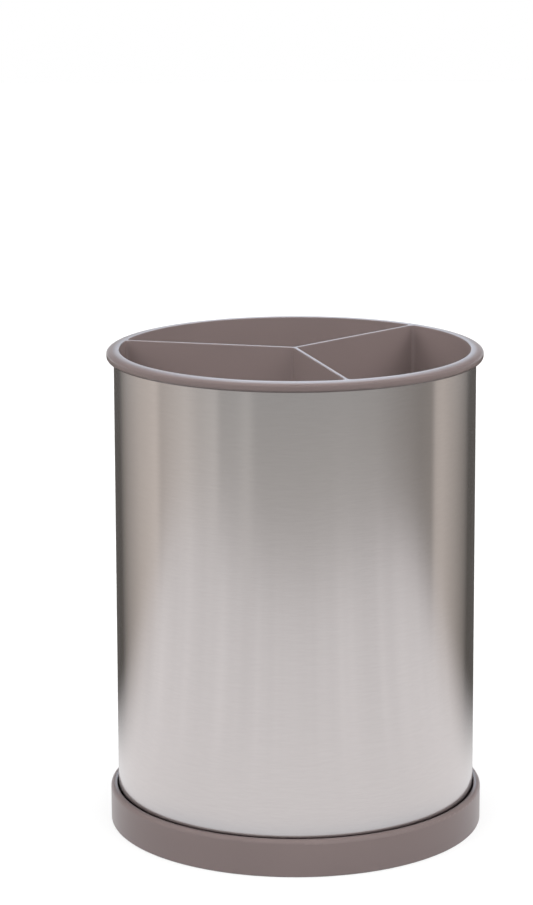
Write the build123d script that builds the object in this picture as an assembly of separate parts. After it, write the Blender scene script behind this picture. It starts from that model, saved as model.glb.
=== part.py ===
from build123d import *
from math import radians, sin, tan
import os

# A rotating utensil crock: a brushed steel sleeve on a turntable that runs on a ring of balls
# in a moulded base, with a lift-out moulded insert that has three compartments.
# Millimetres. The origin is the middle of the footprint on the worktop, +Z up.

# Driving dimensions of the steel sleeve, which narrows a little from its foot to its top
sleeve_radius = 67.7
sleeve_taper = 0.4
sleeve_height = 169.4
sleeve_thickness = 0.5
sleeve_bend_radius = 1.2
sleeve_flange_width = 6.7

# Driving dimensions of the lift-out insert
lip_height = 3.6
lip_top_thickness = 1.8
lip_skirt_thickness = 2.4
lip_sleeve_clearance = 0.3
lip_top_rounding = 1.4
lip_foot_rounding = 1.3
liner_wall = 1.3
liner_draft_angle = 0.25
divider_thickness = 1.6
divider_count = 3
divider_start_angle = 46
compartment_corner_rounding = 1.5
compartment_apex_rounding = 1.5
compartment_floor_rounding = 0.7
mouth_rounding = 0.4
insert_floor_thickness = 1.8
insert_foot_height = 1.2
insert_foot_width = 2.2
insert_foot_gap = 3.5
divider_seat_margin = 0.2
divider_foot_edge = 1.1

# Driving dimensions of the moulded base and its rubber pads
ground_gap = 0.2
ring_running_gap = 0.35
ring_wall = 2.55
ring_overlap = 3.3
ring_top_rounding = 1.5
ring_inner_rounding = 0.5
ring_foot_rounding = 0.4
dish_floor_thickness = 2.0
dish_corner_rounding = 0.9
pad_count = 6
pad_radius = 6.0
pad_thickness = 2.0
pad_edge_rounding = 0.4
pad_seat_height = 1.4
pad_pocket_depth = 1.0
pad_pocket_clearance = 0.05
pad_boss_wall = 1.35
pad_edge_inset = 1.6
base_rib_count = 12
base_rib_thickness = 1.4
base_rib_height = 1.8
pivot_wall_radius = 13.6
pivot_wall_thickness = 1.6

# Driving dimensions of the ball bearing
ball_count = 16
ball_radius = 2.5
ball_play = 0.1
ball_track_inset = 14.5
groove_depth = 1.0
groove_clearance = 0.2
cage_thickness = 2.0
cage_width = 9.0
cage_ball_clearance = 0.15

# Driving dimensions of the turntable plate and its pivot
plate_thickness = 2.2
plate_rib_count = 6
plate_rib_thickness = 1.6
plate_rib_height = 1.2
plate_rib_clearance = 2.0
land_clearance = 0.2
spigot_radius = 6.0
pivot_running_clearance = 0.06
hub_wall = 3.4
hub_end_gap = 0.4
washer_radius = 9.0
washer_thickness = 0.8
washer_bore_clearance = 0.2
washer_end_play = 0.25
washer_recess_depth = 0.6
washer_recess_clearance = 0.6
pivot_screw_radius = 2.0
pivot_head_radius = 4.2
pivot_head_height = 2.0
pivot_skin = 1.9

# Driving dimensions of the pressed floor plate and its screws
floor_plate_thickness = 0.6
floor_plate_edge_clearance = 0.3
bead_height = 0.6
bead_width = 5.0
screw_count = 3
screw_start_angle = 16
screw_track_spacing = 16.0
screw_radius = 1.5
screw_head_radius = 3.1
screw_head_height = 1.6
screw_hole_clearance = 0.2
screw_thread_bite = 0.15
screw_tip_room = 0.3
boss_wall = 2.6
boss_end_wall = 0.5
boss_floor_gap = 0.7
recess_depth_share = 0.6
recess_reach_share = 0.62
recess_width_share = 0.2
head_crown_share = 0.42
tip_length_share = 0.9

# One overrun serves every cut
overrun = 1.0

# Heights, stacked from the worktop up
pad_boss_bottom = pad_thickness - pad_pocket_depth
dish_floor_bottom = pad_thickness + pad_seat_height
dish_floor_top = dish_floor_bottom + dish_floor_thickness
ball_height = dish_floor_top - groove_depth + ball_play + ball_radius
plate_bottom = ball_height + ball_radius + ball_play - groove_depth
sleeve_bottom = plate_bottom + plate_thickness
land_top = sleeve_bottom + sleeve_thickness
floor_plate_top = land_top + floor_plate_thickness
ring_top = sleeve_bottom + ring_overlap
sleeve_top = sleeve_bottom + sleeve_height
rim_top = sleeve_top + lip_top_thickness
lip_bottom = rim_top - lip_height
insert_foot_bottom = floor_plate_top + insert_foot_gap
insert_floor_bottom = insert_foot_bottom + insert_foot_height
insert_floor_top = insert_floor_bottom + insert_floor_thickness
hub_underside = dish_floor_bottom + washer_recess_depth
hub_top = plate_bottom - hub_end_gap
spigot_end = hub_underside - washer_end_play
washer_bottom = spigot_end - washer_thickness
pivot_screw_end = land_top - pivot_skin
boss_bottom = dish_floor_top + boss_floor_gap
screw_hole_bottom = boss_bottom + boss_end_wall
screw_end = screw_hole_bottom + screw_tip_room

# Radii that follow from the fits
sleeve_inner_radius = sleeve_radius - sleeve_thickness
sleeve_top_radius = sleeve_radius - sleeve_taper
bend_start_radius = sleeve_radius - sleeve_bend_radius
flange_inner_radius = bend_start_radius - sleeve_flange_width + sleeve_bend_radius
land_radius = flange_inner_radius - land_clearance
floor_plate_radius = bend_start_radius - floor_plate_edge_clearance
ring_inner_radius = sleeve_radius + ring_running_gap
ring_outer_radius = ring_inner_radius + ring_wall
bore_radius = spigot_radius + pivot_running_clearance
hub_radius = bore_radius + hub_wall
washer_recess_radius = washer_radius + washer_recess_clearance
pad_boss_radius = pad_radius + pad_pocket_clearance + pad_boss_wall
pad_pitch_radius = ring_inner_radius - pad_edge_inset - pad_boss_radius
ball_pitch_radius = bend_start_radius - ball_track_inset
groove_radius = ball_radius + groove_clearance
cage_inner_radius = ball_pitch_radius - cage_width / 2
cage_outer_radius = ball_pitch_radius + cage_width / 2
screw_pitch_radius = ball_pitch_radius - screw_track_spacing
boss_radius = screw_radius + boss_wall
liner_outer_radius = sleeve_top_radius - sleeve_thickness - lip_sleeve_clearance
lip_inner_radius = sleeve_top_radius + lip_sleeve_clearance
lip_outer_radius = lip_inner_radius + lip_skirt_thickness
compartment_radius = liner_outer_radius - liner_wall
divider_seat_depth = mouth_rounding + divider_seat_margin


def turned(outline, roundings=()):
    """A solid turned about the Z axis from (radius, height) points, with some corners rounded."""
    face = make_face(Polyline(*outline, close=True))
    for corner, radius in roundings:
        vertex = face.vertices().sort_by_distance((*corner, 0))[0]
        face = fillet(vertex, radius)
    return revolve(Plane.XZ * face, Axis.Z)


def disc(radius, bottom, top):
    """A plain cylinder on the Z axis between two heights."""
    return Pos(0, 0, (bottom + top) / 2) * Cylinder(radius, top - bottom)


def rib(inner_radius, outer_radius, thickness, bottom, top):
    """A straight rib along +X between two radii and two heights."""
    middle = Pos((inner_radius + outer_radius) / 2, 0, (bottom + top) / 2)
    return middle * Box(outer_radius - inner_radius, thickness, top - bottom)


def track_groove(bottom):
    """The ring of ball groove whose lowest point is at the given height."""
    return Pos(0, 0, bottom + groove_radius) * Torus(ball_pitch_radius, groove_radius)


def pan_head_screw(head_radius, head_height, shank_radius, shank_length):
    """A screw that stands head up, with the underside of its head at height zero."""
    crown = head_height * head_crown_share
    tip = shank_radius * tip_length_share
    outline = [
        (0, -shank_length),
        (shank_radius, tip - shank_length),
        (shank_radius, 0),
        (head_radius, 0),
        (head_radius, head_height),
        (0, head_height),
    ]
    screw = turned(outline, [((head_radius, head_height), crown)])
    depth = head_height * recess_depth_share
    reach = head_radius * recess_reach_share * 2
    width = head_radius * recess_width_share
    slot = Pos(0, 0, head_height) * Box(reach, width, depth * 2)
    return screw - slot - Rot(0, 0, 90) * slot


def make_base_dish():
    """The moulded base: a ring wall round a floor, with the hub and the lower ball track."""
    outline = [
        (bore_radius, hub_underside),
        (washer_recess_radius, hub_underside),
        (washer_recess_radius, dish_floor_bottom),
        (ring_inner_radius, dish_floor_bottom),
        (ring_inner_radius, ground_gap),
        (ring_outer_radius, ground_gap),
        (ring_outer_radius, ring_top),
        (ring_inner_radius, ring_top),
        (ring_inner_radius, dish_floor_top),
        (hub_radius, dish_floor_top),
        (hub_radius, hub_top),
        (bore_radius, hub_top),
    ]
    roundings = [
        ((ring_outer_radius, ground_gap), ring_foot_rounding),
        ((ring_outer_radius, ring_top), ring_top_rounding),
        ((ring_inner_radius, ring_top), ring_inner_rounding),
        ((ring_inner_radius, dish_floor_top), dish_corner_rounding),
    ]
    dish = turned(outline, roundings) - track_groove(dish_floor_top - groove_depth)
    return dish + base_underside() - pad_pockets()


def base_underside():
    """The wall round the pivot, the stiffening ribs and the bosses that hold the pads."""
    rib_bottom = dish_floor_bottom - base_rib_height
    wall_radius = pivot_wall_radius - pivot_wall_thickness
    details = disc(pivot_wall_radius, rib_bottom, dish_floor_bottom)
    details -= disc(wall_radius, rib_bottom - overrun, dish_floor_bottom + overrun)
    inner_end = pivot_wall_radius - pivot_wall_thickness / 2
    outer_end = ring_inner_radius + ring_wall / 2
    one_rib = rib(inner_end, outer_end, base_rib_thickness, rib_bottom, dish_floor_bottom)
    for place in PolarLocations(0, base_rib_count, 180 / base_rib_count):
        details += place * one_rib
    boss = disc(pad_boss_radius, pad_boss_bottom, dish_floor_bottom)
    for place in PolarLocations(pad_pitch_radius, pad_count):
        details += place * boss
    return details


def pad_pockets():
    """The round pockets that the rubber pads are bonded into."""
    pocket = disc(pad_radius + pad_pocket_clearance, pad_boss_bottom - overrun, pad_thickness)
    return [place * pocket for place in PolarLocations(pad_pitch_radius, pad_count)]


def make_foot_pad():
    """A rubber pad, in the middle of the footprint, with its lower edge rounded."""
    outline = [(0, 0), (pad_radius, 0), (pad_radius, pad_thickness), (0, pad_thickness)]
    return turned(outline, [((pad_radius, 0), pad_edge_rounding)])


def make_ball_cage():
    """The flat nylon ring that spaces the balls."""
    bottom = ball_height - cage_thickness / 2
    top = ball_height + cage_thickness / 2
    cage = disc(cage_outer_radius, bottom, top)
    cage -= disc(cage_inner_radius, bottom - overrun, top + overrun)
    window = disc(ball_radius + cage_ball_clearance, bottom - overrun, top + overrun)
    for place in PolarLocations(ball_pitch_radius, ball_count):
        cage -= place * window
    return cage


def make_turntable_plate():
    """The moulded plate that carries the sleeve, with its spigot and the upper ball track."""
    outline = [
        (0, spigot_end),
        (spigot_radius, spigot_end),
        (spigot_radius, plate_bottom),
        (bend_start_radius, plate_bottom),
        (bend_start_radius, sleeve_bottom),
        (land_radius, sleeve_bottom),
        (land_radius, land_top),
        (0, land_top),
    ]
    plate = turned(outline)
    plate -= track_groove(plate_bottom + groove_depth - groove_radius * 2)
    rib_inner = hub_radius + plate_rib_clearance
    rib_outer = cage_inner_radius - plate_rib_clearance
    rib_bottom = plate_bottom - plate_rib_height
    one_rib = rib(rib_inner, rib_outer, plate_rib_thickness, rib_bottom, plate_bottom)
    for place in PolarLocations(0, plate_rib_count, screw_start_angle):
        plate += place * one_rib
    boss = disc(boss_radius, boss_bottom, plate_bottom)
    pilot = disc(screw_radius - screw_thread_bite, screw_hole_bottom, land_top + overrun)
    for place in PolarLocations(screw_pitch_radius, screw_count, screw_start_angle):
        plate += place * boss
        plate -= place * pilot
    pivot_hole_top = pivot_screw_end + screw_tip_room
    return plate - disc(pivot_screw_radius - screw_thread_bite, spigot_end - overrun, pivot_hole_top)


def make_pivot_washer():
    """The steel washer that keeps the turntable from lifting off its hub."""
    washer = disc(washer_radius, washer_bottom, spigot_end)
    hole_radius = pivot_screw_radius + washer_bore_clearance
    return washer - disc(hole_radius, washer_bottom - overrun, spigot_end + overrun)


def make_pivot_screw():
    """The screw that goes up through the washer into the spigot."""
    length = pivot_screw_end - washer_bottom
    screw = pan_head_screw(pivot_head_radius, pivot_head_height, pivot_screw_radius, length)
    return Pos(0, 0, washer_bottom) * Rot(180, 0, 0) * screw


def make_steel_sleeve():
    """The rolled and welded steel tube, with its lower edge turned in as a flange."""
    outline = [
        (flange_inner_radius, sleeve_bottom),
        (sleeve_radius, sleeve_bottom),
        (sleeve_top_radius, sleeve_top),
        (sleeve_top_radius - sleeve_thickness, sleeve_top),
        (sleeve_inner_radius, land_top),
        (flange_inner_radius, land_top),
    ]
    roundings = [
        ((sleeve_radius, sleeve_bottom), sleeve_bend_radius),
        ((sleeve_inner_radius, land_top), sleeve_bend_radius - sleeve_thickness),
    ]
    return turned(outline, roundings)


def make_floor_plate():
    """The pressed steel disc that clamps the flange, with a raised bead and screw holes."""
    bead_middle = (land_radius + screw_pitch_radius) / 2
    bead_start = bead_middle - bead_width / 2
    bead_end = bead_middle + bead_width / 2
    outline = [
        (0, land_top),
        (bead_start, land_top),
        (bead_start + bead_height, land_top + bead_height),
        (bead_end - bead_height, land_top + bead_height),
        (bead_end, land_top),
        (floor_plate_radius, land_top),
        (floor_plate_radius, floor_plate_top),
        (bead_end, floor_plate_top),
        (bead_end - bead_height, floor_plate_top + bead_height),
        (bead_start + bead_height, floor_plate_top + bead_height),
        (bead_start, floor_plate_top),
        (0, floor_plate_top),
    ]
    plate = turned(outline)
    hole_radius = screw_radius + screw_hole_clearance
    hole = disc(hole_radius, land_top - overrun, floor_plate_top + overrun)
    for place in PolarLocations(screw_pitch_radius, screw_count, screw_start_angle):
        plate -= place * hole
    return plate


def make_floor_screws():
    """The screws that hold the floor plate down to the turntable plate."""
    length = floor_plate_top - screw_end
    screw = pan_head_screw(screw_head_radius, screw_head_height, screw_radius, length)
    seat = Pos(0, 0, floor_plate_top)
    places = PolarLocations(screw_pitch_radius, screw_count, screw_start_angle)
    return Compound([place * seat * screw for place in places])


def compartment():
    """The space of one compartment, from the rim down, next to a divider that lies along +X."""
    sweep = 360 / divider_count
    apex_distance = divider_thickness / 2 / sin(radians(sweep / 2))
    apex = Vector(apex_distance, 0).rotate(Axis.Z, sweep / 2)
    reach = Vector(compartment_radius * 3, 0)
    outline = [
        apex,
        apex + reach,
        apex + reach.rotate(Axis.Z, sweep / 2),
        apex + reach.rotate(Axis.Z, sweep),
    ]
    face = Circle(compartment_radius) & make_face(Polyline(*outline, close=True))
    face = fillet(face.vertices().sort_by_distance(apex)[0], compartment_apex_rounding)
    corners = face.vertices().sort_by_distance(apex)[-2:]
    face = fillet(corners, compartment_corner_rounding)
    depth = rim_top - insert_floor_top
    space = extrude(Pos(0, 0, rim_top) * face, depth, dir=(0, 0, -1), taper=liner_draft_angle)
    floor_edges = space.faces().sort_by(Axis.Z)[0].edges()
    return fillet(floor_edges, compartment_floor_rounding)


def insert_moulding():
    """The whole moulded insert: rim lip, liner wall, dividers, floor and foot ring."""
    foot_taper = tan(radians(liner_draft_angle)) * (sleeve_top - insert_foot_bottom)
    foot_radius = liner_outer_radius - foot_taper
    outline = [
        (0, insert_floor_bottom),
        (foot_radius - insert_foot_width, insert_floor_bottom),
        (foot_radius - insert_foot_width, insert_foot_bottom),
        (foot_radius, insert_foot_bottom),
        (liner_outer_radius, sleeve_top),
        (lip_inner_radius, sleeve_top),
        (lip_inner_radius, lip_bottom),
        (lip_outer_radius, lip_bottom),
        (lip_outer_radius, rim_top),
        (0, rim_top),
    ]
    roundings = [
        ((lip_outer_radius, lip_bottom), lip_foot_rounding),
        ((lip_outer_radius, rim_top), lip_top_rounding),
    ]
    insert = turned(outline, roundings)
    space = compartment()
    for place in PolarLocations(0, divider_count, divider_start_angle):
        insert -= place * space
    rim_faces = insert.faces().filter_by(Axis.Z).sort_by(Axis.Z)
    mouths = rim_faces[-1].inner_wires()
    edges = [edge for mouth in mouths for edge in mouth.edges()]
    return fillet(edges, mouth_rounding)


def divider_room():
    """The room of the dividers and their spread feet, which are let into the wall and the floor."""
    bottom = insert_floor_top - divider_seat_depth
    top_radius = compartment_radius + divider_seat_depth
    bottom_radius = top_radius - tan(radians(liner_draft_angle)) * (rim_top - bottom)
    room = turned([(0, bottom), (bottom_radius, bottom), (top_radius, rim_top), (0, rim_top)])
    foot_width = divider_thickness + (compartment_corner_rounding + divider_foot_edge) * 2
    arm = rib(0, compartment_radius + overrun, foot_width, bottom, rim_top)
    arms = [place * arm for place in PolarLocations(0, divider_count, divider_start_angle)]
    return room & (Part() + arms)


def make_insert_pieces():
    """The insert in three pieces that meet face to face: its liner, its dividers and its rim."""
    moulding = insert_moulding()
    dividers = divider_room()
    rim = disc(lip_outer_radius + overrun, lip_bottom - overrun, rim_top + overrun)
    rim -= disc(sleeve_top_radius, lip_bottom - overrun, sleeve_top)
    shell = moulding - dividers
    return {
        "insert_liner": shell - rim,
        "insert_dividers": moulding & dividers,
        "insert_rim": shell & rim,
    }


def spaced(count, radius, shape):
    """Copies of a shape evenly round a circle, each as a piece of its own."""
    return [place * shape for place in PolarLocations(radius, count)]


pieces = {
    "base_dish": make_base_dish(),
    "ball_cage": make_ball_cage(),
    "turntable_plate": make_turntable_plate(),
    "pivot_washer": make_pivot_washer(),
    "pivot_screw": make_pivot_screw(),
    "steel_sleeve": make_steel_sleeve(),
    "floor_plate": make_floor_plate(),
    "floor_screws": make_floor_screws(),
    **make_insert_pieces(),
}
for number, pad in enumerate(spaced(pad_count, pad_pitch_radius, make_foot_pad()), start=1):
    pieces[f"foot_pad_{number}"] = pad
ball = Pos(0, 0, ball_height) * Sphere(ball_radius)
for number, copy in enumerate(spaced(ball_count, ball_pitch_radius, ball), start=1):
    pieces[f"bearing_ball_{number:02d}"] = copy

os.makedirs("parts", exist_ok=True)
for name, piece in pieces.items():
    export_step(piece, f"parts/{name}.step")
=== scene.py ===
from math import atan2, cos, degrees, pi, radians, sin, sqrt, tan

import bmesh
import bpy
from mathutils import Matrix, Vector


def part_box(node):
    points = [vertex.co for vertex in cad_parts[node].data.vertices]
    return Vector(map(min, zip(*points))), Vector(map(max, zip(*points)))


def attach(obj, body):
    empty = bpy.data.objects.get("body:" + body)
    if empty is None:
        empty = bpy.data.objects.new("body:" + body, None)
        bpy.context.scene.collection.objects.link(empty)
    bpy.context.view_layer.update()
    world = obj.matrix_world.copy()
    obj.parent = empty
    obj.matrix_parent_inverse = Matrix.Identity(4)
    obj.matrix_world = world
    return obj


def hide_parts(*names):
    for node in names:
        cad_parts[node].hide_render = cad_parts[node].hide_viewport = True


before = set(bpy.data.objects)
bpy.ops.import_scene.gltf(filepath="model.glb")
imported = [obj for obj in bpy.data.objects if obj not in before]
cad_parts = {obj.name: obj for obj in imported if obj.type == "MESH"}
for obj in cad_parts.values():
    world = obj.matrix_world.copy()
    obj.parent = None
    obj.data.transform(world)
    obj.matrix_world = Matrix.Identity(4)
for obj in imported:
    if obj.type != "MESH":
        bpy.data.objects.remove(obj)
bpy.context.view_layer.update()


# Moulded base: one injection moulding in satin taupe polypropylene. Its ring stands round the foot
# of the sleeve with a narrow running gap. Its floor carries the pivot hub and the lower ball track.


class Wire:
    """A value on its way between nodes. Sums, products and comparisons of wires add Math nodes."""

    def __init__(self, graph, socket):
        self.graph = graph
        self.socket = socket

    def out(self, name):
        return Wire(self.graph, self.socket.node.outputs[name])

    def maths(self, operation, *values):
        return self.graph.node("ShaderNodeMath", {"operation": operation}, dict(enumerate(values)))

    def __add__(self, other):
        return self.maths("ADD", self, other)

    def __radd__(self, other):
        return self.maths("ADD", other, self)

    def __sub__(self, other):
        return self.maths("SUBTRACT", self, other)

    def __rsub__(self, other):
        return self.maths("SUBTRACT", other, self)

    def __mul__(self, other):
        return self.maths("MULTIPLY", self, other)

    def __rmul__(self, other):
        return self.maths("MULTIPLY", other, self)

    def __truediv__(self, other):
        return self.maths("DIVIDE", self, other)

    def __pow__(self, other):
        return self.maths("POWER", self, other)

    def __neg__(self):
        return self.maths("MULTIPLY", self, -1)

    def __abs__(self):
        return self.maths("ABSOLUTE", self)

    def __gt__(self, other):
        return self.maths("GREATER_THAN", self, other)

    def eased(self, low, high):
        """Nought below low, one above high, and a smooth rise between them."""
        sizes = {"Value": self, "From Min": low, "From Max": high}
        return self.graph.node("ShaderNodeMapRange", {"interpolation_type": "SMOOTHSTEP"}, sizes)


class Graph:
    """A node tree that is being built."""

    def __init__(self, tree):
        self.tree = tree
        tree.nodes.clear()

    def node(self, kind, settings=None, inputs=None, output=0):
        """Adds a node, sets its settings and then its inputs, and gives back one of its outputs."""
        node = self.tree.nodes.new(kind)
        for name, value in (settings or {}).items():
            if name == "stops":
                self.set_stops(node.color_ramp, value)
            else:
                setattr(node, name, value)
        for name, value in (inputs or {}).items():
            if isinstance(value, Wire):
                self.tree.links.new(value.socket, node.inputs[name])
            else:
                node.inputs[name].default_value = value
        return Wire(self, node.outputs[output]) if len(node.outputs) else node

    def set_stops(self, ramp, stops):
        while len(ramp.elements) < len(stops):
            ramp.elements.new(1)
        for element, (position, colour) in zip(ramp.elements, stops):
            element.position = position
            element.color = colour

    def blend(self, share, first, second):
        """A colour between two colours."""
        sockets = {0: share, 6: first, 7: second}
        return self.node("ShaderNodeMix", {"data_type": "RGBA"}, sockets, output=2)

    def stretched(self, place, stretch):
        """The place on a piece, with each direction multiplied by a number of its own."""
        return self.node("ShaderNodeVectorMath", {"operation": "MULTIPLY"}, {0: place, 1: stretch})

    def noise(self, place, per_metre, detail=2.0, roughness=0.5):
        """Smooth random values between nought and one, with so many grains to the metre."""
        sizes = {"Vector": place, "Scale": per_metre, "Detail": detail, "Roughness": roughness}
        return self.node("ShaderNodeTexNoise", {}, sizes)

    def bump(self, height, depth, below=None):
        """A surface that rises and falls by depth, in metres, with an optional bump under it."""
        inputs = {"Height": height, "Distance": depth, "Strength": 1.0}
        if below is not None:
            inputs["Normal"] = below
        return self.node("ShaderNodeBump", {}, inputs)


def tone(red, green, blue):
    """A colour, given as it looks on a screen from 0 to 255, as the light that it reflects."""
    shares = [value / 255 for value in (red, green, blue)]
    return (*[s / 12.92 if s <= 0.04045 else ((s + 0.055) / 1.055) ** 2.4 for s in shares], 1.0)


def shaded(colour, share):
    """A colour that reflects more or less of the light."""
    return (*[min(1.0, value * share) for value in colour[:3]], 1.0)


def new_material(name, colour):
    """A material, its graph, and the wire with the place on the piece in Object coordinates."""
    material = bpy.data.materials.new(name)
    material.use_nodes = True
    material.diffuse_color = colour
    graph = Graph(material.node_tree)
    place = graph.node("ShaderNodeTexCoord", output="Object")
    return material, graph, place


def end_in_surface(graph, inputs):
    """Ends a material in one surface shader."""
    surface = graph.node("ShaderNodeBsdfPrincipled", {}, inputs)
    graph.node("ShaderNodeOutputMaterial", {}, {"Surface": surface})


def moulded_plastic(name, colour, worn, roughness):
    """Satin moulded plastic: spark-eroded grain, slight flow marks, and scuffs that catch light."""
    material, graph, place = new_material(name, colour)
    flow = graph.noise(place, per_metre=14, detail=3)
    clouds = graph.noise(place, per_metre=45, detail=1)
    grain = graph.noise(place, per_metre=2600, detail=2)
    turned_place = graph.stretched(place, (1.0, 1.0, 9.0))
    rubs = graph.noise(turned_place, per_metre=260, detail=4, roughness=0.65).eased(0.63, 0.78)
    patches = graph.noise(place, per_metre=38, detail=1).eased(0.5, 0.7)
    scuffs = rubs * patches
    deep, pale = shaded(colour, 0.97), shaded(colour, 1.025)
    body = graph.blend((flow * 0.6 + clouds * 0.4).eased(0.3, 0.7), deep, pale)
    skin = graph.blend(scuffs * 0.10, body, worn)
    sheen = roughness + clouds * 0.03
    waves = graph.bump(flow, depth=0.00002)
    relief = graph.bump(grain, depth=0.0000018, below=waves)
    surface = {"Base Color": skin, "Roughness": sheen, "Normal": relief, "IOR": 1.49}
    end_in_surface(graph, surface)
    return material


def dress(node, material):
    """Gives a CAD part its finish."""
    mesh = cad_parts[node].data
    mesh.materials.clear()
    mesh.materials.append(material)


taupe = tone(124, 110, 108)
taupe_worn = tone(160, 148, 145)
taupe_roughness = 0.28
taupe_moulding = moulded_plastic("taupe_moulding", taupe, taupe_worn, taupe_roughness)
dress("base_dish", taupe_moulding)


# Rubber pads: six grip pads, die-cut from soft black sheet and bonded into round pockets under the
# base. Each has two pressed grooves underneath, so that it doesn't stick to a wet worktop.


def outline_mesh(name, corners, closed):
    """The outline of a turned piece: corners, each with its radius, height and rounding."""
    mesh = bpy.data.meshes.new(name)
    edges = [(i, i + 1) for i in range(len(corners) - 1)]
    if closed:
        edges.append((len(corners) - 1, 0))
    mesh.from_pydata([(radius, 0, height) for radius, height, _ in corners], edges, [])
    rounding = mesh.attributes.new("rounding", "FLOAT", "POINT")
    rounding.data.foreach_set("value", [corner[2] for corner in corners])
    return mesh


def new_tree(name, inputs):
    """A Geometry Nodes tree with named inputs, its graph, and the wire its inputs start from."""
    tree = bpy.data.node_groups.new(name, "GeometryNodeTree")
    tree.interface.new_socket("Geometry", in_out="INPUT", socket_type="NodeSocketGeometry")
    for label, kind in inputs.items():
        tree.interface.new_socket(label, in_out="INPUT", socket_type="NodeSocket" + kind)
    tree.interface.new_socket("Geometry", in_out="OUTPUT", socket_type="NodeSocketGeometry")
    graph = Graph(tree)
    return tree, graph, graph.node("NodeGroupInput")


def turned_shell(graph, outline, path_radius, sides, arc_steps):
    """Nodes that round an outline's corners and turn it about the Z axis."""
    line = graph.node("GeometryNodeMeshToCurve", {}, {"Mesh": outline})
    stored = "GeometryNodeInputNamedAttribute"
    rounding = graph.node(stored, {"data_type": "FLOAT"}, {"Name": "rounding"})
    corners = {"Curve": line, "Radius": rounding, "Count": arc_steps, "Limit Radius": True}
    rounded = graph.node("GeometryNodeFilletCurve", {"mode": "POLY"}, corners)
    place = graph.node("ShaderNodeSeparateXYZ", {}, {0: graph.node("GeometryNodeInputPosition")})
    across = {"X": place - path_radius, "Y": -place.out("Z")}
    flat = graph.node("ShaderNodeCombineXYZ", {}, across)
    profile = graph.node("GeometryNodeSetPosition", {}, {"Geometry": rounded, "Position": flat})
    circle = {"Resolution": sides, "Radius": path_radius}
    path = graph.node("GeometryNodeCurvePrimitiveCircle", {"mode": "RADIUS"}, circle)
    shell = graph.node("GeometryNodeCurveToMesh", {}, {"Curve": path, "Profile Curve": profile})
    touching = {"Geometry": shell, "Distance": 0.000001}
    return graph.node("GeometryNodeMergeByDistance", {}, touching)


def ring_of_points(graph, start):
    """Nodes for a ring of points: as many as the tree's Count, on its Pitch Radius."""
    return graph.node("GeometryNodeCurvePrimitiveCircle", {"mode": "RADIUS"}, {
        "Resolution": start.out("Count"), "Radius": start.out("Pitch Radius"),
    })


def finish_tree(graph, shape, material):
    """Nodes that shade a shape smooth but for its creases, give it its material and end a tree."""
    crease_angle = 0.6
    real = graph.node("GeometryNodeRealizeInstances", {}, {"Geometry": shape})
    smooth = graph.node("GeometryNodeSetShadeSmooth", {"domain": "FACE"}, {"Geometry": real})
    angle = graph.node("GeometryNodeInputMeshEdgeAngle")
    sharp = {"Geometry": smooth, "Selection": angle > crease_angle, "Shade Smooth": False}
    creased = graph.node("GeometryNodeSetShadeSmooth", {"domain": "EDGE"}, sharp)
    done = graph.node("GeometryNodeSetMaterial", {}, {"Geometry": creased, "Material": material})
    graph.node("NodeGroupOutput", {}, {"Geometry": done})


def grown(name, tree, sizes, start):
    """A piece with the plain mesh that a tree grows from a starting mesh and its sizes."""
    piece = bpy.data.objects.new(name, start)
    bpy.context.scene.collection.objects.link(piece)
    growth = piece.modifiers.new("growth", "NODES")
    growth.node_group = tree
    for item in tree.interface.items_tree:
        if item.name in sizes:
            growth[item.identifier] = sizes[item.name]
    evaluated = piece.evaluated_get(bpy.context.evaluated_depsgraph_get())
    mesh = bpy.data.meshes.new_from_object(evaluated)
    piece.modifiers.remove(growth)
    piece.data = mesh
    mesh.name = name
    face_outwards(mesh)
    return piece


def face_outwards(mesh):
    """Turns a closed mesh's faces so that they all face out."""
    skin = bmesh.new()
    skin.from_mesh(mesh)
    bmesh.ops.recalc_face_normals(skin, faces=skin.faces)
    skin.to_mesh(mesh)
    skin.free()


def black_rubber():
    """Soft die-cut rubber: nearly black, dull, dusty in the grain."""
    black, dusty = tone(38, 37, 37), tone(74, 72, 70)
    material, graph, place = new_material("pad_rubber", black)
    dust = graph.noise(place, per_metre=900, detail=4, roughness=0.7)
    skin = graph.blend(dust.eased(0.45, 0.8) * 0.5, black, dusty)
    grain = graph.noise(place, per_metre=5200, detail=2)
    relief = graph.bump(grain, depth=0.00001)
    dullness = 0.72 + dust * 0.16
    end_in_surface(graph, {"Base Color": skin, "Roughness": dullness, "Normal": relief})
    return material


pad_radius = 0.006
pad_thickness = 0.002
pad_rounding = 0.0004
pad_groove_depth = 0.0003
pad_groove_width = 0.0006
pad_groove_radii = (0.0021, 0.0042)
pad_sides = 48
pad_arc_steps = 4
pad_count = 6
pad_pitch_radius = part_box("foot_pad_1")[1].x - pad_radius

pad_outline = [(0, 0, 0)]
for groove_radius in pad_groove_radii:
    for side in (-0.5, 0.5):
        edge = groove_radius + side * pad_groove_width
        walls = [(edge, 0, 0), (edge, pad_groove_depth, 0)]
        pad_outline += walls if side < 0 else walls[::-1]
pad_outline += [
    (pad_radius, 0, pad_rounding),
    (pad_radius, pad_thickness, 0),
    (0, pad_thickness, 0),
]

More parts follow.
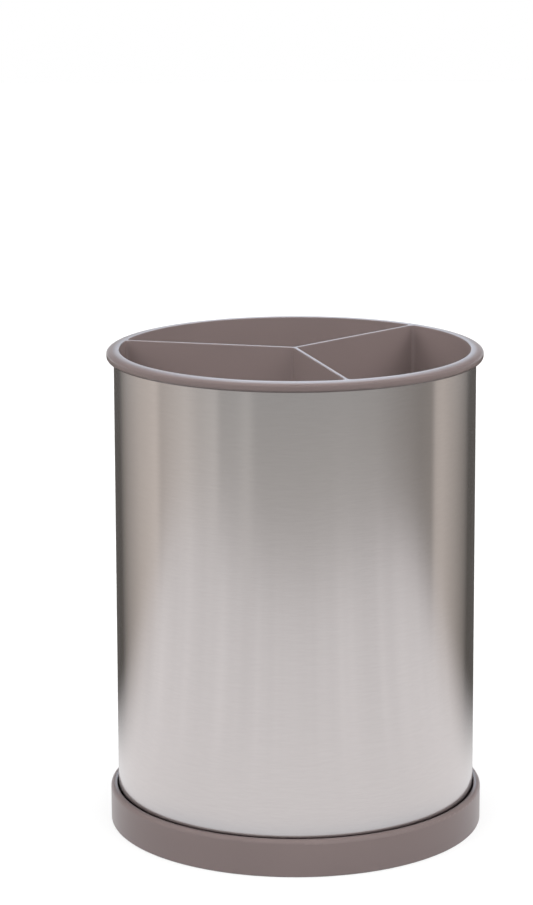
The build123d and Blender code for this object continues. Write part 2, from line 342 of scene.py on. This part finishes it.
pad_tree, graph, start = new_tree("ring_of_pads", {
    "Count": "Int", "Pitch Radius": "Float", "Pad Radius": "Float", "Material": "Material",
})
one_pad = turned_shell(
    graph, start.out("Geometry"), start.out("Pad Radius"), pad_sides, pad_arc_steps,
)
pad_ring = ring_of_points(graph, start)
pads = graph.node("GeometryNodeInstanceOnPoints", {}, {"Points": pad_ring, "Instance": one_pad})
finish_tree(graph, pads, start.out("Material"))
foot_pads = grown("foot_pads", pad_tree, {
    "Count": pad_count, "Pitch Radius": pad_pitch_radius,
    "Pad Radius": pad_radius, "Material": black_rubber(),
}, outline_mesh("pad_outline", pad_outline, closed=False))
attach(foot_pads, "base")
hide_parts(*[f"foot_pad_{number}" for number in range(1, pad_count + 1)])


# Bearing balls: sixteen ground and polished 5 mm steel balls, which run in a greased track between
# the base and the turntable plate.


def smooth_steel(name, colour, roughness, mark_rate, mark_depth):
    """Bright steel with fine handling marks."""
    material, graph, place = new_material(name, colour)
    marks = graph.noise(place, mark_rate, detail=3, roughness=0.6)
    film = graph.noise(place, per_metre=160, detail=2)
    skin = graph.blend(film.eased(0.35, 0.7), colour, shaded(colour, 0.82))
    dullness = roughness + film * 0.08 + (marks - 0.5) * 0.06
    relief = graph.bump(marks, mark_depth)
    surface = {"Base Color": skin, "Metallic": 1.0, "Roughness": dullness, "Normal": relief}
    end_in_surface(graph, surface)
    return material


ball_count = 16
ball_subdivisions = 4
ball_low, ball_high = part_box("bearing_ball_01")
ball_radius = (ball_high.z - ball_low.z) / 2
ball_middle = (ball_low + ball_high) / 2

polished_steel = smooth_steel(
    "ball_steel", tone(205, 205, 207), roughness=0.06, mark_rate=900, mark_depth=0.0000005,
)

ball_tree, graph, start = new_tree("ring_of_balls", {
    "Count": "Int", "Pitch Radius": "Float", "Height": "Float",
    "Ball Radius": "Float", "Material": "Material",
})
lift = graph.node("ShaderNodeCombineXYZ", {}, {"Z": start.out("Height")})
ball_ring = graph.node("GeometryNodeSetPosition", {}, {
    "Geometry": ring_of_points(graph, start), "Offset": lift,
})
one_ball = graph.node("GeometryNodeMeshIcoSphere", {}, {
    "Radius": start.out("Ball Radius"), "Subdivisions": ball_subdivisions,
})
balls = graph.node("GeometryNodeInstanceOnPoints", {}, {"Points": ball_ring, "Instance": one_ball})
finish_tree(graph, balls, start.out("Material"))
bearing_balls = grown("bearing_balls", ball_tree, {
    "Count": ball_count, "Pitch Radius": ball_middle.x, "Height": ball_middle.z,
    "Ball Radius": ball_radius, "Material": polished_steel,
}, bpy.data.meshes.new("ball_start"))
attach(bearing_balls, "ball_ring")
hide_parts(*[f"bearing_ball_{number:02d}" for number in range(1, ball_count + 1)])


# Ball cage: a flat ring of natural nylon, moulded with a window for each ball. It floats between
# the tracks and goes round at half the turntable's speed.

nylon = tone(214, 208, 192)
nylon_worn = tone(228, 224, 214)
nylon_roughness = 0.48
dress("ball_cage", moulded_plastic("nylon", nylon, nylon_worn, nylon_roughness))


# Turntable plate: a ribbed moulding in dark grey plastic with the upper ball track and a central
# spigot, which turns in the hub of the base.

dark_grey = tone(62, 60, 61)
dark_worn = tone(96, 94, 94)
dark_roughness = 0.45
dress("turntable_plate", moulded_plastic("dark_moulding", dark_grey, dark_worn, dark_roughness))


# Pivot washer and pivot screw: zinc-plated steel, fitted from below. They keep the turntable from
# lifting off its hub when someone picks the crock up by its rim.

zinc_plate = smooth_steel(
    "plain_steel", tone(186, 187, 190), roughness=0.26, mark_rate=700, mark_depth=0.000003,
)
dress("pivot_washer", zinc_plate)
dress("pivot_screw", zinc_plate)


# Steel sleeve: 0.5 mm stainless sheet, brushed round and round, rolled into a tube and butt welded
# at the back. Its lower edge is turned in as a flange, which the floor plate clamps.


def brushed_steel(radius, seam_width):
    """Stainless steel, with brushing that runs round the tube and a ground weld at the back."""
    light, deep, clouded = tone(215, 210, 209), tone(211, 206, 205), tone(208, 203, 202)
    heated, ground = tone(186, 176, 160), tone(176, 172, 170)
    material, graph, place = new_material("brushed_steel", tone(214, 209, 206))
    spot = graph.node("ShaderNodeSeparateXYZ", {}, {0: place})
    fine_place = graph.stretched(place, (1.0, 1.0, 16.0))
    long_place = graph.stretched(place, (1.0, 1.0, 24.0))
    hair = graph.noise(fine_place, per_metre=170, detail=4, roughness=0.7)
    stroke = graph.noise(long_place, per_metre=60, detail=3, roughness=0.6)
    cloud = graph.noise(place, per_metre=24, detail=2).eased(0.4, 0.75)
    handled = graph.noise(place, per_metre=55, detail=4, roughness=0.6).eased(0.56, 0.72)
    behind = spot.out("Y").eased(0, radius / 2)
    from_seam = abs(spot.out("X"))
    seam = (1 - from_seam.eased(seam_width / 2, seam_width)) * behind
    heat = (1 - from_seam.eased(seam_width, seam_width * 5)) * behind
    skin = graph.blend((hair * 0.8 + stroke * 0.2).eased(0.3, 0.7), deep, light)
    for share, colour in ((cloud * 0.20, clouded), (heat * 0.30, heated), (seam * 0.45, ground)):
        skin = graph.blend(share, skin, colour)
    dullness = 0.157 + (hair - 0.5) * 0.012 + handled * 0.005 + seam * 0.12
    weld = graph.bump(seam, depth=0.00002)
    relief = graph.bump(hair, depth=0.00000005, below=weld)
    end_in_surface(graph, {
        "Base Color": skin, "Metallic": 1.0, "Roughness": dullness, "Normal": relief,
        "Anisotropic": 0.84, "Anisotropic Rotation": 0.25,
    })
    return material


sleeve_low, sleeve_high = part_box("steel_sleeve")
sheet_thickness = 0.0005
sheet_bend = 0.0012
sheet_edge_rounding = 0.00008
flange_width = 0.0067
sleeve_taper = 0.0004
seam_width = 0.0011
sleeve_sides = 360
sleeve_arc_steps = 6
sleeve_inner = sleeve_high.x - sheet_thickness
sleeve_top_radius = sleeve_high.x - sleeve_taper
flange_inner = sleeve_high.x - flange_width
flange_top = sleeve_low.z + sheet_thickness
sleeve_outline = [
    (flange_inner, sleeve_low.z, 0),
    (sleeve_high.x, sleeve_low.z, sheet_bend),
    (sleeve_top_radius, sleeve_high.z, sheet_edge_rounding),
    (sleeve_top_radius - sheet_thickness, sleeve_high.z, sheet_edge_rounding),
    (sleeve_inner, flange_top, sheet_bend - sheet_thickness),
    (flange_inner, flange_top, 0),
]
sleeve_tree, graph, start = new_tree("turned_sheet", {
    "Radius": "Float", "Sides": "Int", "Arc Steps": "Int", "Material": "Material",
})
outline, *sizes = [start.out(name) for name in ("Geometry", "Radius", "Sides", "Arc Steps")]
sheet = turned_shell(graph, outline, *sizes)
finish_tree(graph, sheet, start.out("Material"))
steel_sleeve = grown("brushed_sleeve", sleeve_tree, {
    "Radius": sleeve_high.x, "Sides": sleeve_sides, "Arc Steps": sleeve_arc_steps,
    "Material": brushed_steel(sleeve_high.x, seam_width),
}, outline_mesh("sleeve_outline", sleeve_outline, closed=True))
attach(steel_sleeve, "crock")
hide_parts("steel_sleeve")


# Floor plate and its screws: a pressed steel disc with a raised bead, held down on the flange of
# the sleeve by three zinc-plated screws that bite into the turntable plate.

dress("floor_plate", zinc_plate)
dress("floor_screws", zinc_plate)


# Divided insert: one lift-out injection moulding in the same satin taupe plastic. It has three
# drafted compartments, a foot ring, and a lip that hooks over the edge of the sleeve.


def arc_points(middle, radius, first, last, steps):
    """Points along an arc in the plane, from one angle to another in degrees."""
    angles = [radians(first + (last - first) * i / steps) for i in range(steps + 1)]
    return [(middle[0] + radius * cos(a), middle[1] + radius * sin(a)) for a in angles]


def turned(points, angle):
    """Points in the plane, turned about the middle."""
    return [
        (x * cos(angle) - y * sin(angle), x * sin(angle) + y * cos(angle)) for x, y in points
    ]


def mouth_loop(inset, wall_radius, thickness, apex_rounding, corner_rounding, sweep):
    """The outline of a compartment, inset from its mouth, with its bisector along +X."""
    corner_steps, apex_steps, wall_steps = 10, 8, 72
    half = radians(sweep / 2)
    gap = thickness / 2 + inset
    apex = apex_rounding - inset
    corner = corner_rounding - inset
    wall = wall_radius - inset
    along = sqrt((wall - corner) ** 2 - (gap + corner) ** 2)
    corner_x = (gap + corner) * sin(half) + along * cos(half)
    corner_y = along * sin(half) - (gap + corner) * cos(half)
    inward = 90 + sweep / 2
    outward = degrees(atan2(corner_y, corner_x))
    lower = arc_points((corner_x, -corner_y), corner, -outward, -inward, corner_steps)
    tip = arc_points(((gap + apex) / sin(half), 0), apex, 360 - inward, inward, apex_steps)
    upper = arc_points((corner_x, corner_y), corner, inward, outward, corner_steps)
    outer = arc_points((0, 0), wall, outward, -outward, wall_steps)
    return lower + tip + upper + outer[1:-1]


def quarter_turn(steps):
    """The angles of a quarter turn in equal steps."""
    return [pi / 2 * step / steps for step in range(steps + 1)]


def turned_rows(outline, arc_steps):
    """The rows of a turned surface, from corners with a radius, a height and a rounding each."""
    rows = [outline[0][:2]]
    for before, corner, after in zip(outline, outline[1:], outline[2:]):
        middle = Vector(corner[:2])
        rounding = corner[2]
        if rounding == 0:
            rows.append(tuple(middle))
            continue
        back = (Vector(before[:2]) - middle).normalized()
        ahead = (Vector(after[:2]) - middle).normalized()
        centre = middle + (back + ahead) * rounding
        for turn in quarter_turn(arc_steps):
            point = centre - ahead * rounding * cos(turn) - back * rounding * sin(turn)
            rows.append(tuple(point))
    return rows + [outline[-1][:2]]


def bridge(mesh, lower, upper):
    """Closes the band between two loops of as many points."""
    for i in range(len(lower)):
        j = (i + 1) % len(lower)
        mesh.faces.new((lower[i], lower[j], upper[j], upper[i]))


rim_low, rim_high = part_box("insert_rim")
liner_low, liner_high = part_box("insert_liner")
rim_top = rim_high.z
lip_radius = rim_high.x
skirt_thickness = 0.0024
lip_crown_width = 0.0030
lip_crown_height = 0.0014
lip_foot_rounding = 0.0013
liner_radius = liner_high.x
liner_thickness = 0.0013
draft = tan(radians(0.25))
divider_thickness = 0.0016
divider_start = 46
compartment_count = 3
apex_rounding = 0.0015
corner_rounding = 0.0015
floor_rounding = 0.0007
mouth_rounding = 0.0004
floor_thickness = 0.0018
foot_height = 0.0012
foot_width = 0.0022
foot_low = liner_low.z
floor_low = foot_low + foot_height
floor_top = floor_low + floor_thickness
foot_radius = liner_radius - draft * (liner_high.z - foot_low)
ring_sides = 288
foot_arc_steps = 8
crown_steps = 12
pocket_arc_steps = 6
crease_angle = radians(32)

moulding = bmesh.new()
outer_outline = [
    (foot_radius - foot_width, floor_low, 0),
    (foot_radius - foot_width, foot_low, 0),
    (foot_radius, foot_low, 0),
    (liner_radius, liner_high.z, 0),
    (lip_radius - skirt_thickness, liner_high.z, 0),
    (lip_radius - skirt_thickness, rim_low.z, 0),
    (lip_radius, rim_low.z, lip_foot_rounding),
    (lip_radius, rim_top - lip_crown_height, 0),
]
crown_rows = [
    (lip_radius - lip_crown_width * (1 - cos(turn)), rim_top - lip_crown_height * (1 - sin(turn)))
    for turn in quarter_turn(crown_steps)[1:]
]
loops = []
for radius, height in turned_rows(outer_outline, foot_arc_steps) + crown_rows:
    ring_points = arc_points((0, 0), radius, 0, 360, ring_sides)[:-1]
    loops.append([moulding.verts.new((x, y, height)) for x, y in ring_points])
for below, above in zip(loops, loops[1:]):
    bridge(moulding, below, above)
moulding.faces.new(loops[0][::-1])

pocket_rows = []
pocket_depth = rim_top - floor_top
for turn in quarter_turn(pocket_arc_steps):
    depth = pocket_depth - floor_rounding * (1 - cos(turn))
    pocket_rows.append((draft * depth + floor_rounding * (1 - sin(turn)), rim_top - depth))
for turn in quarter_turn(pocket_arc_steps):
    depth = mouth_rounding * (1 - sin(turn))
    pocket_rows.append((draft * depth - mouth_rounding * (1 - cos(turn)), rim_top - depth))
mouths = []
mouth_radius = liner_radius - liner_thickness
sweep = 360 / compartment_count
for number in range(compartment_count):
    direction = radians(divider_start + sweep * (number + 0.5))
    rows = []
    for inset, height in pocket_rows:
        flat = mouth_loop(
            inset, mouth_radius, divider_thickness, apex_rounding, corner_rounding, sweep,
        )
        rows.append([moulding.verts.new((x, y, height)) for x, y in turned(flat, direction)])
    for below, above in zip(rows, rows[1:]):
        bridge(moulding, below, above)
    moulding.faces.new(rows[0])
    mouths.append(rows[-1])

borders = []
for loop in [loops[-1], *mouths]:
    borders += [moulding.edges.get((loop[i - 1], loop[i])) for i in range(len(loop))]
bmesh.ops.triangle_fill(moulding, edges=borders, use_beauty=True, normal=(0, 0, 1))
bmesh.ops.recalc_face_normals(moulding, faces=moulding.faces)
insert_mesh = bpy.data.meshes.new("divided_insert")
moulding.to_mesh(insert_mesh)
moulding.free()
insert_mesh.shade_smooth()
insert_mesh.set_sharp_from_angle(angle=crease_angle)
insert_mesh.materials.append(taupe_moulding)
divided_insert = bpy.data.objects.new("moulded_insert", insert_mesh)
bpy.context.scene.collection.objects.link(divided_insert)
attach(divided_insert, "insert")
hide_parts("insert_liner", "insert_dividers", "insert_rim")


# Studio floor: a sheet of pale paper. The camera sees it as white, with the object's shadow on it.
# Glossy surfaces mirror it as a bright table round the crock, which fades out at its edge.

floor_reach = 3.0
paper_grey = 0.34
paper_glow = 0.66
paper_bounce = 0.12
table_middle = (-0.045, -0.254)
table_reach = (0.64, 0.356)
table_colour, table_light = (1.0, 0.985, 0.99, 1), 0.885
rear_fringe, front_fringe, fringe_growth = 0.22, 0.70, (0, 1.2)
side_gain, side_turns = 0.04, (0.8, 1.6)
far_loss, far_reach = 0.07, (0.1, 0.6)
stripes_per_radian, stripe_contrast, stripe_start = 3.2, 0.38, (0.11, 0.25)
foot_colour, foot_reach = (0.68, 0.73, 0.79, 1), (0.086, 0.108)
foot_loss, foot_turns = 0.8, (0.6, 1.6)

floor_mesh = bpy.data.meshes.new("studio_floor")
floor_corners = [(-1, -1), (1, -1), (1, 1), (-1, 1)]
floor_points = [(x * floor_reach, y * floor_reach, 0) for x, y in floor_corners]
floor_mesh.from_pydata(floor_points, [], [(0, 1, 2, 3)])
studio_floor = bpy.data.objects.new("studio_floor", floor_mesh)
bpy.context.scene.collection.objects.link(studio_floor)

material, graph, place = new_material("studio_paper", (1, 1, 1, 1))
spot = graph.node("ShaderNodeSeparateXYZ", {}, {0: place})
across = (spot - table_middle[0]) / table_reach[0]
along = (spot.out("Y") - table_middle[1]) / table_reach[1]
fringe = rear_fringe + (-along).eased(*fringe_growth) * front_fringe
distance = (across * across + along * along) ** 0.5
table = 1 - distance.eased(1 - fringe, 1 + fringe)

away = (spot * spot + spot.out("Y") * spot.out("Y")) ** 0.5
turned_away = spot.maths("ARCTAN2", spot, -spot.out("Y"))
sideways = abs(turned_away)
direction = graph.node("ShaderNodeCombineXYZ", {}, {0: turned_away})
streaks = graph.noise(direction, stripes_per_radian, detail=3, roughness=0.7) - 0.5
stripes = streaks * away.eased(*stripe_start)
foot = (1 - away.eased(*foot_reach)) * (1 - sideways.eased(*foot_turns) * foot_loss)
level = table_light + stripes * stripe_contrast + sideways.eased(*side_turns) * side_gain
shone = graph.node("ShaderNodeVectorMath", {"operation": "SCALE"}, {
    0: graph.blend(foot, table_colour, foot_colour),
    "Scale": level - away.eased(*far_reach) * far_loss,
})
mirrored = graph.node("ShaderNodeEmission", {}, {"Color": shone, "Strength": 1.0})
beyond = graph.node("ShaderNodeBsdfTransparent")
shine = graph.node("ShaderNodeMixShader", {}, {0: table, 1: beyond, 2: mirrored})

rays = graph.node("ShaderNodeLightPath")
dim_paper = graph.node("ShaderNodeBsdfDiffuse", {}, {"Color": (*[paper_bounce] * 3, 1)})
paper = graph.node("ShaderNodeBsdfDiffuse", {}, {"Color": (*[paper_grey] * 3, 1)})
clean = graph.node("ShaderNodeEmission", {}, {"Color": (1, 1, 1, 1), "Strength": paper_glow})
seen = graph.node("ShaderNodeAddShader", {}, {0: paper, 1: clean})
lit = graph.node("ShaderNodeMixShader", {}, {0: rays.out("Is Glossy Ray"), 1: dim_paper, 2: shine})
surface = graph.node("ShaderNodeMixShader", {}, {0: rays.out("Is Camera Ray"), 1: lit, 2: seen})
graph.node("ShaderNodeOutputMaterial", {}, {"Surface": surface})
material.cycles.emission_sampling = "NONE"
floor_mesh.materials.append(material)


# Studio light: a soft dome, which the camera sees as plain white. Glossy surfaces mirror grey
# cards below the horizon and, above it, a bright band, dark paper and a softbox. Turns are in
# radians, and a height is the sine of the angle above the horizon.

card_levels = [
    (-180, 0.095), (-147, 0.10), (-142, 0.20), (-133, 0.34), (-116, 0.54), (-98, 0.66),
    (-93, 0.50), (-72, 0.64), (-62, 0.55), (-51, 0.61), (-47, 0.45), (-37, 0.48), (-30, 0.56),
    (-24, 0.44), (30, 0.45), (50, 0.415), (64, 0.34), (84, 0.27), (95, 0.29), (99, 0.54),
    (106, 0.555), (120, 0.41), (137, 0.21), (143, 0.10), (180, 0.095),
]
front_tint, side_tint = (1.04, 1.02, 0.97, 1), (1.105, 1.025, 0.945, 1)
tint_turns = (0.6, 1.8)
horizon = (-0.03, 0.05)
low_paper, high_paper = (0.28, 0.32, 0.37, 1), (0.16, 0.17, 0.18, 1)
paper_heights = (0.20, 0.30)
low_glow, high_glow = (1.8, 2.2, 2.65, 1), (2.3, 2.7, 3.1, 1)
glow_heights = (0.25, 0.60)
softbox_middle, softbox_turns, softbox_head = 0.012, (0.02, 0.085), (0.75, 0.95)
flare_turns, flare_heights = (0.15, 0.33), (0.38, 0.60)
band_colour = (0.95, 0.97, 1.02, 1)
band_foot, band_head, band_ends = (-0.14, -0.02), (0.10, 0.20), (0.7, 1.3)
lowest_light = 0.25
low_rise, low_heights = 1.9, (0.12, 0.40)
high_rise, high_heights = 3.2, (0.40, 0.56)
top_heights = (0.64, 0.78)
all_round, in_front, at_sides = 0.38, 0.46, 0.20
front_reach = (-0.8, 0.6)

world = bpy.data.worlds.new("studio")
world.use_nodes = True
world.cycles.sampling_method = "NONE"
bpy.context.scene.world = world
graph = Graph(world.node_tree)
outwards = graph.node("ShaderNodeTexCoord", output="Generated")
towards = graph.node("ShaderNodeSeparateXYZ", {}, {0: outwards})
back = towards.out("Y")
height = towards.out("Z")

azimuth = towards.maths("ARCTAN2", towards, -back)
card_stops = [((angle + 180) / 360, (level, level, level, 1)) for angle, level in card_levels]
cards = graph.node("ShaderNodeValToRGB", {"stops": card_stops}, {0: azimuth / (2 * pi) + 0.5})
tint = graph.blend(abs(azimuth).eased(*tint_turns), front_tint, side_tint)
multiply = {"data_type": "RGBA", "blend_type": "MULTIPLY"}
tinted = graph.node("ShaderNodeMix", multiply, {0: 1.0, 6: cards, 7: tint}, output=2)

from_middle = abs(towards.maths("ARCTAN2", towards, back) - softbox_middle)
flare = height.eased(*flare_heights)
inner, outer = [turn + flare * more for turn, more in zip(softbox_turns, flare_turns)]
softbox = (1 - from_middle.eased(inner, outer)) * (1 - height.eased(*softbox_head))
dark_paper = graph.blend(height.eased(*paper_heights), low_paper, high_paper)
glow = graph.blend(height.eased(*glow_heights), low_glow, high_glow)
backdrop = graph.blend(softbox, dark_paper, glow)
mirrored_sky = graph.blend(height.eased(*horizon), tinted, backdrop)
band_level = height.eased(*band_foot) * (1 - height.eased(*band_head))
band = band_level * (1 - from_middle.eased(*band_ends))
glossy_dome = graph.blend(band, mirrored_sky, band_colour)

level_part = back / (1 - height * height) ** 0.5
front = (-level_part).eased(*front_reach)
aside = 1 - level_part * level_part
rise = low_rise * height.eased(*low_heights) + high_rise * height.eased(*high_heights)
low_sky = lowest_light + rise * (all_round + in_front * front + at_sides * aside)
top = height.eased(*top_heights)
soft_dome = low_sky * (1 - top) + lowest_light * top

rays = graph.node("ShaderNodeLightPath")
unseen = graph.blend(rays.out("Is Glossy Ray"), soft_dome, glossy_dome)
sky = graph.blend(rays.out("Is Camera Ray"), unseen, (1, 1, 1, 1))
background = graph.node("ShaderNodeBackground", {}, {"Color": sky, "Strength": 1.0})
graph.node("ShaderNodeOutputWorld", {}, {"Surface": background})


# Camera: fitted to the ellipses of the rim, the sleeve and the foot ring in the photograph. It is
# a good metre in front of the crock and looks slightly down on it through a long lens.

camera_position = (-0.006247, -1.07975, 0.380588)
camera_pitch = radians(90 - 12.462)
camera_pan = 0.0041
camera_roll = -0.0036
camera_data = bpy.data.cameras.new("camera")
camera_data.lens = 117.48
camera_data.sensor_width = 36
camera = bpy.data.objects.new("camera", camera_data)
bpy.context.scene.collection.objects.link(camera)
camera_stand = Matrix.Translation(camera_position) @ Matrix.Rotation(camera_pan, 4, "Z")
camera_tilt = Matrix.Rotation(camera_pitch, 4, "X") @ Matrix.Rotation(camera_roll, 4, "Z")
camera.matrix_world = camera_stand @ camera_tilt
bpy.context.scene.camera = camera
bpy.context.scene.view_settings.view_transform = "Standard"
